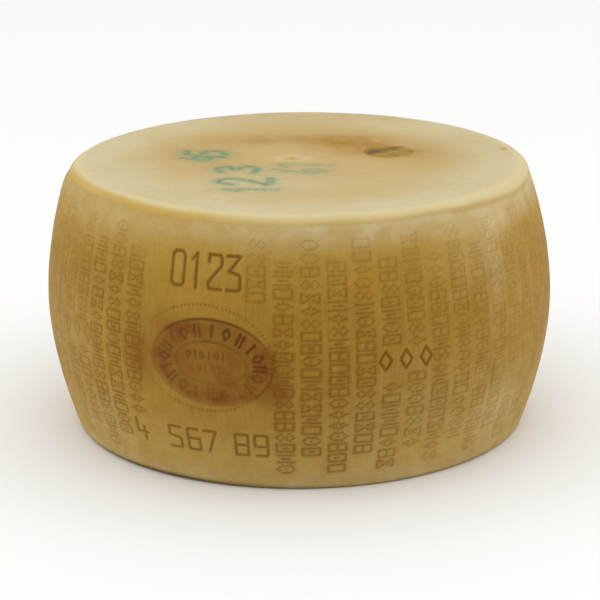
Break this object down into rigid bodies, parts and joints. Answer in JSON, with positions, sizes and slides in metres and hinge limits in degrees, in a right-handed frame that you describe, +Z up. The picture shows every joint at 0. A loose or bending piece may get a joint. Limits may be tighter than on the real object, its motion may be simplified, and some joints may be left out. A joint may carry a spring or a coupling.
{
  "type": "whole wheel of hard grating cheese",
  "caption": "Whole uncut wheel of aged hard grating cheese with a bulging stamped rind, flat faces and a round casein plate set in its top.",
  "frame": {"origin": "middle of the flat base, on the surface that the wheel stands on", "axes": "+Z up along the wheel's axis, -Y towards the stamped front, +X to the right seen from the front"},
  "size_m": [0.4387, 0.4402, 0.2323],
  "materials": {
    "rind": "dense waxy golden-brown cheese rind, paler and bloomed on the top face and round the upper edge",
    "casein": "smooth pressed casein, olive tan, dull"
  },
  "bodies": {
    "root": {"cheese_wheel": "rind", "casein_plate": "casein"}
  },
  "joints": []
}
